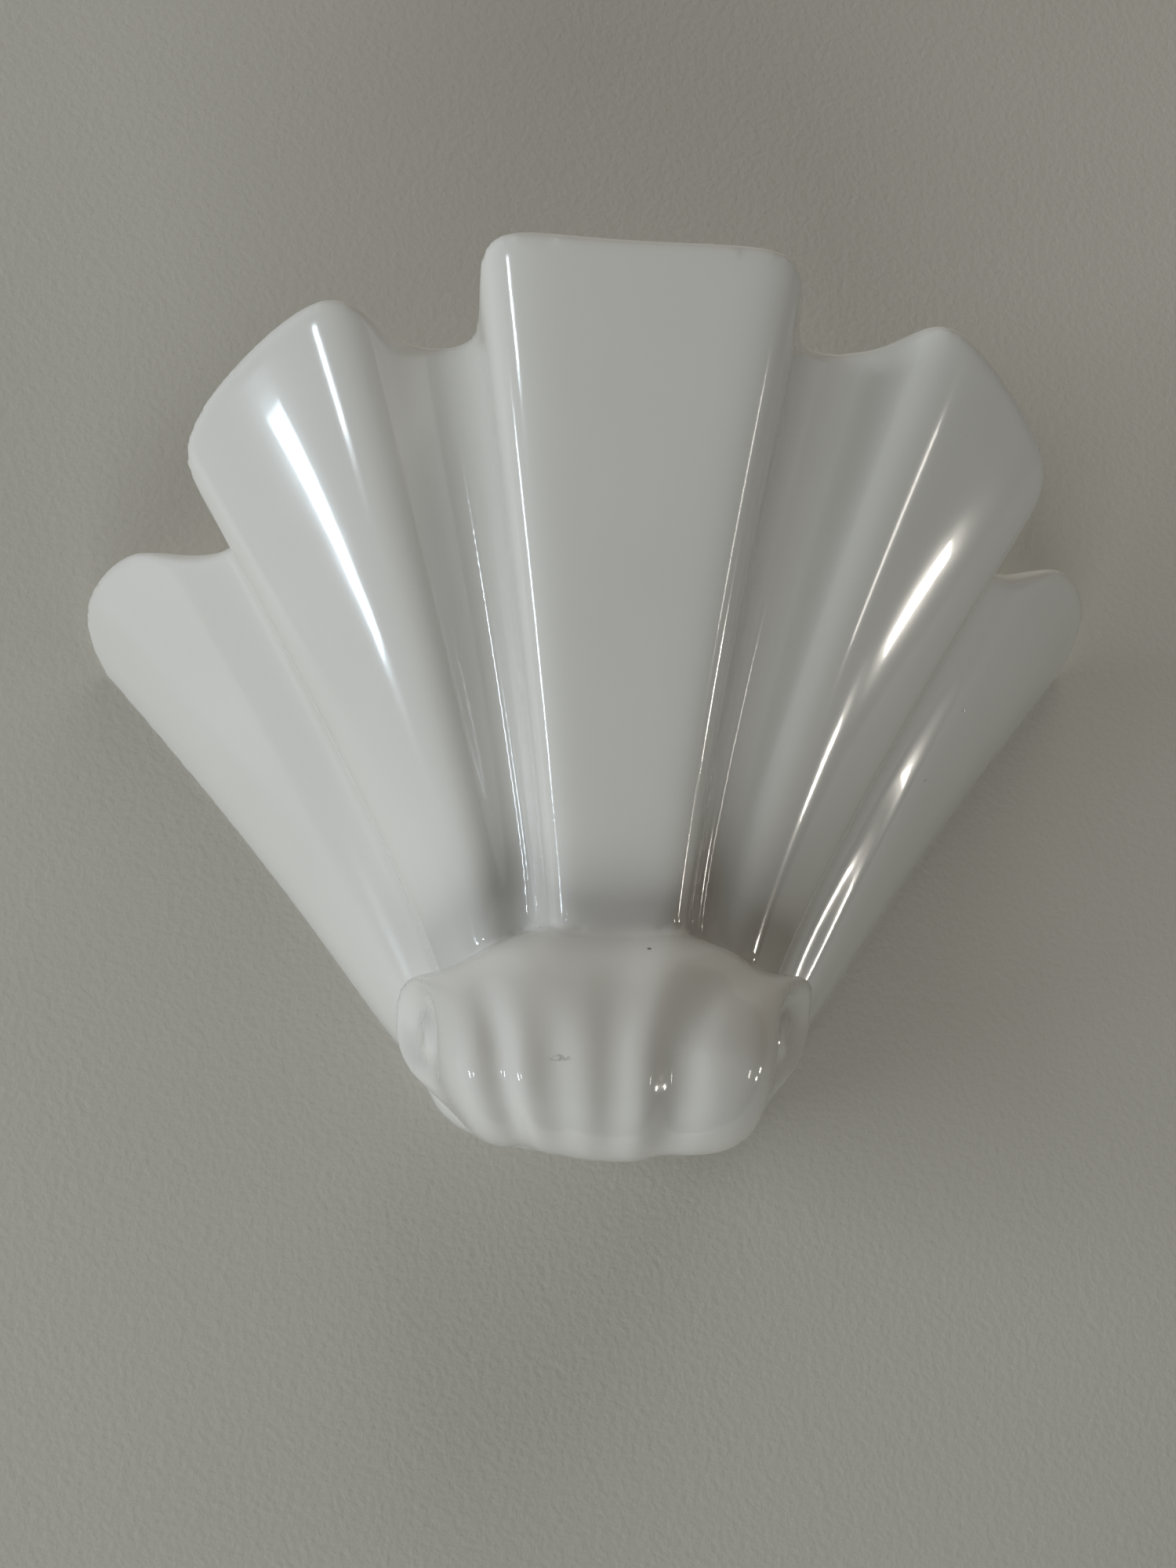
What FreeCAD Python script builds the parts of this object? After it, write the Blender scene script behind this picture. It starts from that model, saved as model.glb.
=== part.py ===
import FreeCAD, Part
import math
import os

# Wall-mounted ceramic shell sconce, millimetres.
# Frame: origin at the middle of the two wall screw slots, on the wall plane; the front faces -Y; +Z is up.

doc = FreeCAD.newDocument("ShellSconce")
sheet = doc.addObject("Spreadsheet::Sheet", "Dim")

DIMENSIONS = (
    # ceramic shell
    ("shell_width", 324.0), ("shell_projection", 151.0), ("shell_rise", 150.0), ("shell_drop", 67.0),
    ("shell_wall", 7.0), ("lip_height", 3.2), ("crease_below_screws", 48.0), ("scroll_wall", 7.0),
    ("lug_inner", 86.0), ("lug_outer", 152.0), ("lug_depth", 9.0), ("lug_top", 31.0), ("hang_gap", 0.35),
    # wall bracket
    ("strap_half", 104.0), ("strap_height", 25.0), ("strap_gauge", 2.0), ("hook_width", 16.0),
    ("hook_length", 14.0), ("hook_angle", 35.0), ("slot_spacing", 100.0), ("slot_length", 12.0),
    ("slot_width", 5.5), ("entry_offset", 27.0), ("entry_hole", 14.0), ("earth_offset", 70.0),
    ("earth_hole", 3.4), ("block_offset", 26.0), ("block_hole", 2.6), ("rivet_hole", 3.1),
    ("rivet_spacing", 12.0), ("rivet_radius", 1.55), ("rivet_head", 2.8), ("rivet_head_height", 1.1),
    # lamp arm
    ("arm_width", 20.0), ("arm_gauge", 1.5), ("arm_top", 10.0), ("arm_foot", 44.0), ("arm_reach", 58.0),
    ("holder_axis", 47.0), ("nipple_hole", 10.2),
    # nipple, nuts and washer
    ("nipple_radius", 5.0), ("nipple_bore", 3.7), ("nipple_top", 9.0), ("nipple_below", 7.0),
    ("locknut_flats", 14.0), ("locknut_height", 3.0), ("washer_radius", 9.0), ("washer_gauge", 0.8),
    # lamp holder
    ("cap_radius", 14.0), ("cap_height", 18.0), ("cap_wall", 2.0), ("cap_floor", 3.0),
    ("skirt_height", 28.0), ("skirt_thread", 5.0),
    ("insert_radius", 10.6), ("insert_height", 9.0), ("insert_bottom", 10.5), ("screw_shell_radius", 7.6),
    ("screw_shell_wall", 0.4), ("screw_shell_height", 20.0),
    ("terminal_screw_radius", 1.4), ("terminal_screw_offset", 8.0),
    # bulb
    ("globe_radius", 22.5), ("globe_wall", 0.8), ("bulb_cap_radius", 6.9),
    ("bulb_cap_height", 17.0), ("collar_height", 12.0), ("collar_top_radius", 13.0),
    # wiring
    ("lead_radius", 1.1), ("grommet_radius", 9.0), ("grommet_bore", 3.6), ("grommet_lip", 1.6),
)
for row, (alias, size) in enumerate(DIMENSIONS, start=1):
    sheet.set("A%d" % row, alias)
    sheet.set("B%d" % row, repr(size))
    sheet.setAlias("B%d" % row, alias)
doc.recompute()


def dim(alias):
    return float(sheet.get(alias))


def value(formula):
    """Size of a sum of sheet aliases and numbers, each with an optional factor such as 2*slot_width."""
    total = 0.0
    for term in formula.replace("-", "+-").split("+"):
        term = term.strip()
        if not term:
            continue
        product = -1.0 if term.startswith("-") else 1.0
        for factor in term.lstrip("- ").split("*"):
            factor = factor.strip()
            product *= float(factor) if factor[0].isdigit() else dim(factor)
        total += product
    return total


def bound(formula):
    """The same formula with each alias pointing at the sheet, for setExpression."""
    words = formula.replace("-", " - ").replace("+", " + ").replace("*", " * ").split()
    return " ".join("Dim." + word if word[0].isalpha() else word for word in words)


# ---------------------------------------------------------------- ceramic shell
# Sections as (x, protrusion from the wall, height above the crease), at the rim and at the crease.
CENTRE = ((0.5, 151, 149), (0.5, 79, 2))
RIGHT = (
    ((16, 151, 149.3), (8.5, 79, 2)),
    ((30, 150.5, 149.5), (15, 78.5, 2.5)),
    ((35.5, 145, 149), (18.5, 75, 3)),
    ((37.5, 130, 144.5), (20, 70, 4)),
    ((41, 117, 143.5), (21.5, 66, 4)),
    ((52, 110, 143.5), (24.5, 64, 3.5)),
    ((61.5, 114, 145), (27.5, 64, 2.5)),
    ((67, 124, 146), (30.5, 65, 0)),
    ((74, 130, 146.5), (34.5, 65, -3)),
    ((91.5, 117.5, 139.5), (42, 59.5, -7)),
    ((111.5, 98.5, 128), (48, 49, -11)),
    ((117, 87, 121.5), (50, 44, -12)),
    ((111.5, 76, 110), (50, 39, -13)),
    ((108, 63, 103.5), (52, 35, -15)),
    ((120, 55, 103.5), (56, 31, -18)),
    ((132, 50, 108), (59.5, 29, -21)),
    ((143.5, 43, 113), (63, 26, -23)),
    ((158, 27, 108.5), (67, 17, -27)),
    ((165.5, 11, 101), (71, 8, -30)),
    ((162, 0, 88), (72, 0, -32)),
)
LEFT = (
    ((-16, 151, 149.5), (-7.5, 79, 2.2)),
    ((-31.5, 150.5, 151.5), (-13.5, 78.5, 3)),
    ((-37, 145, 151), (-17, 75, 4)),
    ((-36.5, 131, 144.5), (-18, 70, 5)),
    ((-38, 117, 142), (-19.5, 66, 5)),
    ((-46, 110, 141.5), (-22.5, 64, 4)),
    ((-54, 114, 142), (-25.5, 64, 2.5)),
    ((-60, 124, 144), (-28.5, 65, 0)),
    ((-69.5, 131, 148.5), (-32.5, 65, -3)),
    ((-88, 118.5, 141), (-39, 59.5, -7)),
    ((-108.5, 99.5, 129), (-44.5, 49, -10.5)),
    ((-113, 88, 121), (-46, 44, -11.5)),
    ((-105, 77, 112), (-46, 39, -13)),
    ((-101.5, 65, 105.5), (-48, 35, -15)),
    ((-115, 57, 104), (-52, 31, -18)),
    ((-127, 51, 107), (-55, 29, -21)),
    ((-138, 44, 112), (-58, 26, -23)),
    ((-155, 27, 106), (-62, 17, -27)),
    ((-163.5, 11, 96), (-65.5, 8, -30)),
    ((-158, 0, 83), (-66.5, 0, -32)),
)
# Scroll rings as (x in front, x at the top, x underneath, reach in front, reach at the top,
# reach underneath, protrusion and height of the centre, turn). The turn carries a ring's middle
# outside its front, so that the scroll's ends look outwards and forwards. Each end is a rolled
# rim around a shallow dish with a small eye in it.
SCROLL = (
    (-50.5, -50.5, -50.5, 1.5, 1.5, 1.5, 67, -24.5, 0.5),
    (-50, -50, -50, 4, 4, 4, 67, -24.5, 1.5),
    (-47, -47, -47, 6.5, 6.5, 6.5, 67, -24.5, 2.5),
    (-45.5, -46.5, -45.5, 11, 9, 8.5, 67.5, -24, 4.4),
    (-46.6, -46.6, -43.5, 15.5, 12, 11, 68, -23.5, 6.2),
    (-45.8, -46.6, -41.6, 18.5, 14.5, 13.5, 69, -23.7, 6.8),
    (-43.5, -44.6, -38.4, 22.5, 17, 17.5, 70, -25, 5.6),
    (-40, -43.7, -33.2, 26, 18.8, 23.3, 71.5, -26.2, 3.8),
    (-36, -41.4, -27.5, 27.3, 20.5, 25.5, 72.5, -26.5, 2.6),
    (-30.5, -37.6, -22.5, 25.4, 23, 25, 74, -26.5, 1.4),
    (-25.5, -31.2, -18.5, 28.5, 26.8, 26.5, 75, -26.5, 0.8),
    (-18, -21.7, -13.5, 27.4, 30.4, 27.5, 75.5, -26.5, 0.3),
    (-10.5, -12, -8.5, 29.2, 30, 28.5, 75.5, -26.5, 0),
    (-3.5, 1, -3, 28.0, 29.4, 29, 75.5, -26.5, 0),
    (4, 16, 3.5, 29.2, 29.6, 29.2, 75.5, -26.5, 0),
    (13, 29.5, 10.5, 25.0, 25, 28, 74.5, -26.5, -0.8),
    (21, 35, 18, 28.3, 20.5, 28.3, 73.5, -26.5, -2),
    (30, 38, 25.5, 28.2, 18.8, 27.5, 72, -26.5, -3.5),
    (36, 40.5, 31.5, 25.8, 17.6, 23.5, 70.5, -26.2, -5.5),
    (39.2, 42.5, 34, 22, 16, 18, 69.5, -25.2, -7.5),
    (40.5, 43.8, 35.9, 18.5, 14, 13.5, 68.5, -24.2, -8.8),
    (40.9, 43.6, 36.7, 15.5, 11.5, 11, 68, -24.2, -8.4),
    (40, 42.6, 38.4, 11, 8.8, 8.5, 67.5, -24.5, -6.6),
    (42, 43, 42, 6.5, 6.5, 6.5, 67, -25, -4.2),
    (46, 46, 46, 4, 4, 4, 67, -25, -2),
    (46.8, 46.8, 46.8, 1.5, 1.5, 1.5, 67, -25, -0.7),
)
INSET_SHRINK = 45.0     # half length over which the scroll's hollow draws in by its wall
SECTIONS = LEFT[::-1] + (CENTRE,) + RIGHT
COUNT = len(SECTIONS)
UPPER_ROWS = 5
FLARE = 6.0


def to_frame(x, p, z):
    """Shell coordinates scaled by the driving sizes and moved to the part's frame."""
    height = z * (dim("shell_rise") / 150.0 if z > 0 else dim("shell_drop") / 67.0)
    return FreeCAD.Vector(
        x * dim("shell_width") / 324.0,
        -p * dim("shell_projection") / 151.0,
        height - dim("crease_below_screws"),
    )


def upper_row(t):
    """Row of section points between the crease (t = 0) and the rim (t = 1), hollowed into a slight flare."""
    row = []
    for rim, base in SECTIONS:
        x, p, z = (b + (r - b) * t for r, b in zip(rim, base))
        hollow = FLARE * 4 * t * (1 - t)
        row.append((x - 0.5 * hollow * rim[0] / 160, p - hollow * rim[1] / 150, z))
    return row


def heel_row(half, depth, z_side, z_middle, inset=0.0):
    """Boxy rounded row under the crease; its two ends lie on the wall."""
    row = []
    for k in range(COUNT):
        angle = (2 * k / (COUNT - 1) - 1) * math.pi / 2
        level = 0.0 if k in (0, COUNT - 1) else math.cos(angle)
        x = (half - inset) * math.copysign(abs(math.sin(angle)) ** 0.85, angle)
        p = max(depth - inset, 0) * level ** 0.5
        row.append((x, p, z_side + (z_middle + inset - z_side) * level))
    return row


def blend(first, second, t_across, t_out):
    row = []
    for a, b in zip(first, second):
        row.append((
            a[0] + (b[0] - a[0]) * t_across,
            a[1] + (b[1] - a[1]) * t_out,
            a[2] + (b[2] - a[2]) * t_across,
        ))
    return row


def outer_net():
    rows = [upper_row(1 - k / (UPPER_ROWS - 1)) for k in range(UPPER_ROWS)]
    heel = heel_row(52, 56, -46, -60)
    rows.append(blend(rows[-1], heel, 0.45, 0.3))
    rows.append(heel)
    rows.append(heel_row(51, 32, -47, -65))
    rows.append(heel_row(51, 0, -47, -67))
    return rows


def smoothed(row, passes):
    """Section with its relief softened, as the inside of a slip casting is; the ends stay on the wall."""
    for _ in range(passes):
        middle = []
        for a, b, c in zip(row, row[1:], row[2:]):
            middle.append(tuple((u + 2 * v + w) / 4 for u, v, w in zip(a, b, c)))
        row = [row[0]] + middle + [row[-1]]
    return row


def inset_row(row, wall, rise):
    """Section moved inwards by the wall thickness across its own run."""
    out = []
    for k, (x, p, z) in enumerate(row):
        a = row[max(k - 1, 0)]
        b = row[min(k + 1, COUNT - 1)]
        run_x = b[0] - a[0]
        run_p = b[1] - a[1]
        run_z = b[2] - a[2]
        # inward normal of the run in the section plane
        length = math.sqrt(run_x ** 2 + run_p ** 2 + run_z ** 2)
        tangent = (run_x / length, run_p / length, run_z / length)
        axis = rise
        normal = (
            tangent[1] * axis[2] - tangent[2] * axis[1],
            tangent[2] * axis[0] - tangent[0] * axis[2],
            tangent[0] * axis[1] - tangent[1] * axis[0],
        )
        size = math.sqrt(sum(v * v for v in normal))
        step = wall / size
        px = x + normal[0] * step
        pp = p + normal[1] * step
        pz = z + normal[2] * step
        if k in (0, COUNT - 1):
            px, pp, pz = x - math.copysign(wall, x), 0.0, z
        out.append((px, max(pp, 0.0), pz))
    return out


def inner_net():
    wall = dim("shell_wall")
    rise = (0.0, 0.42, 0.9)
    rows = []
    for k in range(UPPER_ROWS):
        t = 1 - k / (UPPER_ROWS - 1)
        row = smoothed(upper_row(t), 1 + round(10 * (1 - t) ** 1.5))
        rows.append(inset_row(row, wall, rise))
    heel = heel_row(52, 56, -46, -60, wall)
    rows.append(blend(rows[-1], heel, 0.45, 0.3))
    rows.append(heel)
    rows.append(heel_row(51, 32, -47, -65, wall))
    rows.append(heel_row(51, 0, -47, -67, wall))
    return rows


def clamped_knots(poles, degree):
    spans = poles - degree
    return [degree + 1] + [1] * (spans - 1) + [degree + 1], [float(k) for k in range(spans + 1)]


def net_surface(rows, degree=3):
    """B-spline surface over a net of points; the net's edge rows are the surface's edges."""
    poles = [list(row) for row in rows]
    across = min(degree, len(poles) - 1)
    mults_v, knots_v = clamped_knots(len(poles), across)
    mults_u, knots_u = clamped_knots(len(poles[0]), 3)
    surface = Part.BSplineSurface()
    surface.buildFromPolesMultsKnots(
        poles, mults_v, mults_u, knots_v, knots_u, False, False, across, 3
    )
    return surface


def placed(rows):
    return [[to_frame(*point) for point in row] for row in rows]


def lip_rows(outer, inner):
    """Rounded rim between the outer and inner rim rows, standing up along the flutes."""
    height = dim("lip_height")
    crest_out = []
    crest_in = []
    for k in range(COUNT):
        along = outer[0][k] - outer[1][k]
        if k in (0, COUNT - 1):
            along.y = 0.0
        along.normalize()
        crest_out.append(outer[0][k] + along * height)
        crest_in.append(inner[0][k] + along * height)
    return [outer[0], crest_out, crest_in, inner[0]]


def solid_of(faces):
    shell = Part.makeShell(faces)
    shell.sewShape(0.01)
    solid = Part.Solid(shell)
    if solid.Volume < 0:
        solid.reverse()
    return solid


def skin_solid(outer, inner):
    """Casting without its scroll: outer skin, inner skin, rounded rim and the flat back against the wall."""
    lip = net_surface(lip_rows(outer, inner)).toShape()
    skins = [net_surface(outer).toShape(), net_surface(inner).toShape(), lip]
    on_wall = []
    for face in skins:
        for edge in face.Edges:
            ends = [edge.valueAt(edge.FirstParameter), edge.valueAt(edge.LastParameter)]
            middle = edge.valueAt((edge.FirstParameter + edge.LastParameter) / 2)
            if max(abs(point.y) for point in ends + [middle]) < 1e-6:
                on_wall.append(edge)
    back = Part.Face(Part.Wire(Part.__sortEdges__(on_wall)))
    return solid_of(skins + [back])


def enclosed_solid(net):
    """The space between a skin and the wall plane, closed level with the rim."""
    front = net_surface(net).toShape()
    rim_on_wall = [FreeCAD.Vector(point.x, 0, point.z) for point in net[0]]
    cap = net_surface([net[0], rim_on_wall]).toShape()
    on_wall = []
    for face in (front, cap):
        for edge in face.Edges:
            middle = edge.valueAt((edge.FirstParameter + edge.LastParameter) / 2)
            if abs(middle.y) < 1e-6 and edge.Length > 1e-3:
                on_wall.append(edge)
    back = Part.Face(Part.Wire(Part.__sortEdges__(on_wall)))
    return solid_of([front, cap, back])


def scroll_ring(ring, inset):
    """Closed wire of one scroll section, its seam at the back."""
    front, top, under, reach, crown, sole, depth, height, turn = ring
    steps = 24
    shrink = 1 - inset / INSET_SHRINK
    points = []
    for k in range(steps):
        angle = math.pi + 2 * math.pi * k / steps
        up = max(math.sin(angle), 0)
        down = max(-math.sin(angle), 0)
        lean = (top - front) * up ** 1.5 + (under - front) * down ** 1.5
        size = max(reach + (crown - reach) * up ** 1.2 + (sole - reach) * down ** 2 - inset, 0.8)
        points.append(to_frame(
            (front + lean - turn * (1 - math.cos(angle))) * shrink,
            depth + size * math.cos(angle),
            height + size * math.sin(angle),
        ))
    curve = Part.BSplineCurve()
    curve.interpolate(Points=points, PeriodicFlag=True)
    return Part.Wire([curve.toShape()])


def flat_ring(ring):
    """The same ring as a plain circle, whose wire lies in one plane and can carry an end face."""
    front, _, _, _, crown, _ = ring[:6]
    return (front, front, front, crown, crown, crown) + ring[6:]


def scroll_solid(inset):
    """Rolled scroll lofted through its rings; its hollow leaves out the rings of the eyes."""
    rings = [ring for ring in SCROLL if inset == 0 or ring[3] > inset + 12]
    rings = [flat_ring(rings[0])] + rings[1:-1] + [flat_ring(rings[-1])]
    wires = [scroll_ring(ring, inset) for ring in rings]
    return Part.makeLoft(wires, True, False, False)


HOOK_SET = 2.0      # how far below the strap's top edge the hooks leave it


def lug(side):
    """Hanging lug inside one edge: its sloped underside sits over the bracket's hook."""
    angle = math.radians(dim("hook_angle"))
    start = dim("strap_height") / 2 - HOOK_SET + dim("strap_gauge") * math.cos(angle)
    start += dim("hang_gap") / math.cos(angle)
    depth = dim("lug_depth")
    profile = (
        (0, start),
        (depth, start + depth * math.tan(angle)),
        (depth, dim("lug_top")),
        (0, dim("lug_top")),
    )
    x = side * dim("lug_inner")
    points = [FreeCAD.Vector(x, -p, z) for p, z in profile]
    face = Part.Face(Part.makePolygon(points + points[:1]))
    return face.extrude(FreeCAD.Vector(side * (dim("lug_outer") - dim("lug_inner")), 0, 0))


def ceramic_shell():
    """One glazed casting: fluted shell, scroll and hanging lugs, open at the top and the back."""
    outer = placed(outer_net())
    inner = placed(inner_net())
    space = enclosed_solid(inner)
    envelope = enclosed_solid(outer)
    scroll = scroll_solid(0.0).cut(space)
    casting = skin_solid(outer, inner).fuse(scroll).cut(scroll_solid(dim("scroll_wall")))
    for side in (-1, 1):
        casting = casting.fuse(lug(side).common(envelope))
    feature = doc.addObject("Part::Feature", "ceramic_shell")
    feature.Shape = casting.Solids[0] if len(casting.Solids) == 1 else casting
    return feature


# ---------------------------------------------------------------- bound primitives

def move(item, x="0", y="0", z="0"):
    for axis, formula in (("x", x), ("y", y), ("z", z)):
        if formula != "0":
            item.setExpression("Placement.Base." + axis, bound(formula))
    return item


def turned(item, axis, angle):
    item.Placement.Rotation = FreeCAD.Rotation(FreeCAD.Vector(*axis), angle)
    return item


def box(length, width, height, x="0", y="0", z="0"):
    item = doc.addObject("Part::Box", "Block")
    for name, formula in (("Length", length), ("Width", width), ("Height", height)):
        item.setExpression(name, bound(formula))
    return move(item, x, y, z)


def rod(radius, height, x="0", y="0", z="0", facing=None):
    """Cylinder standing up, or pointing out of the wall when facing is 'front'."""
    item = doc.addObject("Part::Cylinder", "Rod")
    item.setExpression("Radius", bound(radius))
    item.setExpression("Height", bound(height))
    if facing == "front":
        turned(item, (1, 0, 0), 90)
    return move(item, x, y, z)


def cone(low, high, height, x="0", y="0", z="0"):
    item = doc.addObject("Part::Cone", "Taper")
    for name, formula in (("Radius1", low), ("Radius2", high), ("Height", height)):
        item.setExpression(name, bound(formula))
    return move(item, x, y, z)


def ball(radius, x="0", y="0", z="0"):
    item = doc.addObject("Part::Sphere", "Ball")
    item.setExpression("Radius", bound(radius))
    return move(item, x, y, z)


def hexagon(flats, height, x="0", y="0", z="0"):
    item = doc.addObject("Part::Prism", "Hexagon")
    item.Polygon = 6
    item.setExpression("Circumradius", bound("0.57735*" + flats))
    item.setExpression("Height", bound(height))
    return move(item, x, y, z)


def joined(items):
    item = doc.addObject("Part::MultiFuse", "Joined")
    item.Shapes = items
    item.Refine = True
    return item


def group(items):
    item = doc.addObject("Part::Compound", "Group")
    item.Links = items
    return item


def without(base, tools):
    tool = tools[0] if len(tools) == 1 else joined(tools)
    item = doc.addObject("Part::Cut", "Without")
    item.Base = base
    item.Tool = tool
    return item


# ---------------------------------------------------------------- wall bracket and lamp arm
def slot(x):
    """Through slot lying along X, for a wall screw."""
    across = box("slot_length-slot_width", "2*strap_gauge", "slot_width",
                 x + "-0.5*slot_length+0.5*slot_width", "-1.5*strap_gauge", "-0.5*slot_width")
    ends = [
        rod("0.5*slot_width", "2*strap_gauge", x + end, "0.5*strap_gauge", "0", "front")
        for end in ("-0.5*slot_length+0.5*slot_width", "+0.5*slot_length-0.5*slot_width")
    ]
    return [across] + ends


def wall_bracket():
    """Flat steel strap against the wall with a raised hook at each end."""
    strap = box("2*strap_half", "strap_gauge", "strap_height",
                "-strap_half", "-strap_gauge", "-0.5*strap_height")
    hooks = []
    for x in ("-strap_half", "strap_half-hook_width"):
        hook = box("hook_width", "hook_length", "strap_gauge")
        turned(hook, (1, 0, 0), -dim("hook_angle"))
        sine = "%.6f" % math.sin(math.radians(dim("hook_angle")))
        cosine = "%.6f" % math.cos(math.radians(dim("hook_angle")))
        move(hook, x, "-%s*strap_gauge-%s*hook_length" % (sine, cosine),
             "0.5*strap_height-%s+%s*hook_length" % (HOOK_SET, sine))
        hooks.append(hook)
    plain = joined([strap] + hooks)
    holes = slot("-0.5*slot_spacing") + slot("0.5*slot_spacing")
    rounds = (
        ("entry_offset", "0", "0.5*entry_hole"),
        ("earth_offset", "0", "0.5*earth_hole"),
        ("-block_offset-4.5", "0", "0.5*block_hole"),
        ("0", "-0.5*rivet_spacing", "rivet_radius"),
        ("0", "0.5*rivet_spacing", "rivet_radius"),
    )
    for x, z, radius in rounds:
        holes.append(rod(radius, "2*strap_gauge", x, "0.5*strap_gauge", z, "front"))
    return without(plain, holes)


def lamp_arm():
    """Angle strip riveted to the bracket; its foot carries the lamp holder."""
    leg = box("arm_width", "arm_gauge", "arm_top+arm_foot",
              "-0.5*arm_width", "-strap_gauge-arm_gauge", "-arm_foot")
    foot = box("arm_width", "arm_reach-strap_gauge", "arm_gauge",
               "-0.5*arm_width", "-arm_reach", "-arm_foot")
    holes = [rod("0.5*nipple_hole", "3*arm_gauge", "0", "-holder_axis", "-arm_foot-arm_gauge")]
    for z in ("-0.5*rivet_spacing", "0.5*rivet_spacing"):
        holes.append(rod("rivet_radius", "4*arm_gauge", "0", "-0.5*strap_gauge", z, "front"))
    return without(joined([leg, foot]), holes)


def arm_rivets():
    rivets = []
    for z in ("-0.5*rivet_spacing", "0.5*rivet_spacing"):
        shank = rod("rivet_radius", "strap_gauge+arm_gauge", "0", "0", z, "front")
        head = rod("rivet_head", "rivet_head_height", "0", "-strap_gauge-arm_gauge", z, "front")
        rivets.append(joined([shank, head]))
    return group(rivets)


def cable_grommet():
    """Rubber bush lining the cable entry."""
    plug = rod("0.5*entry_hole", "strap_gauge", "entry_offset", "0", "0", "front")
    lip = rod("grommet_radius", "grommet_lip", "entry_offset", "-strap_gauge", "0", "front")
    bore = rod("grommet_bore", "4*strap_gauge", "entry_offset", "strap_gauge", "0", "front")
    return without(joined([plug, lip]), [bore])


# ---------------------------------------------------------------- earth point
def earth_ring_terminal():
    ring = rod("4", "0.8", "earth_offset", "-strap_gauge", "0", "front")
    tongue = box("4", "0.8", "8", "earth_offset-2", "-strap_gauge-0.8", "-11")
    barrel = rod("2", "6", "earth_offset", "-strap_gauge-2.6", "-14")
    hole = rod("0.5*earth_hole", "3", "earth_offset", "-0.5*strap_gauge", "0", "front")
    bore = rod("lead_radius", "3.5", "earth_offset", "-strap_gauge-2.6", "-14.1")
    return without(joined([ring, tongue, barrel]), [hole, bore])


def earth_washer():
    disc = rod("3.5", "0.8", "earth_offset", "-strap_gauge-0.8", "0", "front")
    hole = rod("0.5*earth_hole", "3", "earth_offset", "-strap_gauge", "0", "front")
    return without(disc, [hole])


def earth_screw():
    shank = rod("0.5*earth_hole-0.1", "strap_gauge+1.4", "earth_offset", "-0.2", "0", "front")
    head = rod("3", "2.2", "earth_offset", "-strap_gauge-1.6", "0", "front")
    drive = box("5", "1.2", "0.8", "earth_offset-2.5", "-strap_gauge-4", "-0.4")
    return without(joined([shank, head]), [drive])


# ---------------------------------------------------------------- terminal block
POLES = ("-block_offset-9", "-block_offset", "-block_offset+9")


def terminal_block_body():
    blocks = []
    bores = []
    for x in POLES:
        blocks.append(box("8", "14", "16", x + "-4", "-strap_gauge-14", "-8"))
        bores.append(rod("2.2", "17", x, "-strap_gauge-6", "-8.5"))
        bores.append(rod("1.7", "9", x, "-strap_gauge-6", "0", "front"))
    base = box("26", "3", "12", "-block_offset-13", "-strap_gauge-3", "-6")
    bores.append(rod("0.5*block_hole", "4", "-block_offset-4.5", "-strap_gauge+0.5", "0", "front"))
    bores.append(rod("1.8", "14", "-block_offset-4.5", "-strap_gauge-3", "0", "front"))
    return without(joined(blocks + [base]), bores)


def terminal_block_tubes():
    tubes = []
    for x in POLES:
        tube = rod("2.2", "15", x, "-strap_gauge-6", "-7.5")
        bore = rod("lead_radius", "16", x, "-strap_gauge-6", "-8")
        entry = rod("1.5", "5", x, "-strap_gauge-6", "0", "front")
        tubes.append(without(tube, [bore, entry]))
    return group(tubes)


def terminal_block_screws():
    screws = []
    for x in POLES:
        shank = rod("1.5", "6.5", x, "-strap_gauge-7.2", "0", "front")
        drive = box("2.4", "1", "0.5", x + "-1.2", "-strap_gauge-14", "-0.25")
        screws.append(without(shank, [drive]))
    return group(screws)


def terminal_block_fixing_screw():
    shank = rod("0.5*block_hole", "strap_gauge+2.7", "-block_offset-4.5", "-0.3", "0", "front")
    head = rod("1.7", "1.5", "-block_offset-4.5", "-strap_gauge-3", "0", "front")
    drive = box("2.6", "1", "0.5", "-block_offset-5.8", "-strap_gauge-5", "-0.25")
    return without(joined([shank, head]), [drive])


# ---------------------------------------------------------------- nipple and nuts
def entry_nipple():
    tube = rod("nipple_radius", "nipple_top+arm_gauge+nipple_below",
               "0", "-holder_axis", "-arm_foot-nipple_below")
    bore = rod("nipple_bore", "nipple_top+arm_gauge+nipple_below+2",
               "0", "-holder_axis", "-arm_foot-nipple_below-1")
    return without(tube, [bore])


def locknut(z):
    nut = hexagon("locknut_flats", "locknut_height", "0", "-holder_axis", z)
    bore = rod("nipple_radius", "locknut_height+2", "0", "-holder_axis", z + "-1")
    return without(nut, [bore])


def lower_locknut():
    return locknut("-arm_foot-locknut_height")


def upper_locknut():
    return locknut("-arm_foot+arm_gauge+washer_gauge+cap_floor")


def toothed_lock_washer():
    disc = rod("washer_radius", "washer_gauge", "0", "-holder_axis", "-arm_foot+arm_gauge")
    cuts = [rod("0.5*nipple_hole", "washer_gauge+1", "0", "-holder_axis", "-arm_foot+arm_gauge-0.5")]
    for k in range(12):
        angle = 2 * math.pi * k / 12
        notch = rod("0.9", "washer_gauge+1", "0", "0", "-arm_foot+arm_gauge-0.5")
        notch.setExpression("Placement.Base.x", "Dim.washer_radius * %.6f" % math.cos(angle))
        notch.setExpression(
            "Placement.Base.y", "Dim.washer_radius * %.6f - Dim.holder_axis" % math.sin(angle)
        )
        cuts.append(notch)
    return without(disc, cuts)


# ---------------------------------------------------------------- lamp holder
CAP_FOOT = "-arm_foot+arm_gauge+washer_gauge"


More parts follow.
